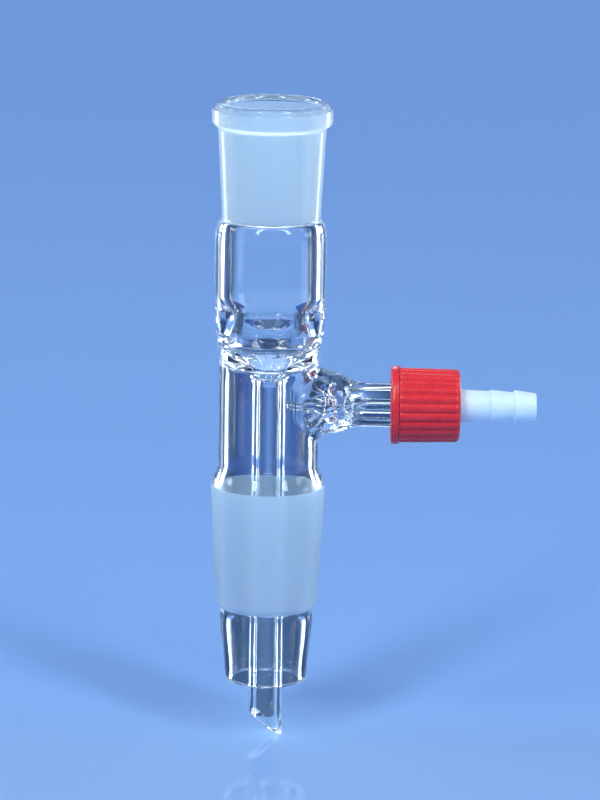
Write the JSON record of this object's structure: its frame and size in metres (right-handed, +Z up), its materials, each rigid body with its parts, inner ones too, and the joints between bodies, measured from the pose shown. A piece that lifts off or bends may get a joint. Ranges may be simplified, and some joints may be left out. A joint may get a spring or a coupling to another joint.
{
  "type": "receiver adapter",
  "caption": "Straight glass receiver adapter with a ground socket, a ground cone, an inner drip tube and a side arm with a ribbed screw cap and a barbed hose connector.",
  "frame": {"origin": "centre of the ground cone's large end, on the adapter's axis", "axes": "+Z up the adapter's axis towards the socket, +X out along the side arm"},
  "size_m": [0.0835, 0.0306, 0.1658],
  "materials": {
    "glass": "clear borosilicate, ground matt on the cone and in the socket",
    "cap": "red moulded plastic, satin",
    "connector": "natural white polypropylene, slightly translucent",
    "seal": "translucent silicone"
  },
  "bodies": {
    "glass": {"glass_body": "glass"},
    "seal": {"sealing_ring": "seal"},
    "connector": {"hose_connector": "connector"},
    "cap": {"screw_cap": "cap"}
  },
  "joints": [
    {"name": "cap_travel", "type": "slide", "parent": "glass", "child": "seal", "axis": [1, 0, 0], "range_m": [0, 0.0075]},
    {"name": "cap_turn", "type": "hinge", "parent": "seal", "child": "cap", "pos_m": [0.0399, 0, 0.0213], "axis": [1, 0, 0], "range_deg": [0, 1080]},
    {"name": "connector_swivel", "type": "hinge", "parent": "seal", "child": "connector", "pos_m": [0.045, 0, 0.0213], "axis": [1, 0, 0], "continuous": true}
  ],
  "couplings": [
    {"joint": "cap_travel", "follows": "cap_turn", "m_per_rad": 0.00039789}
  ]
}
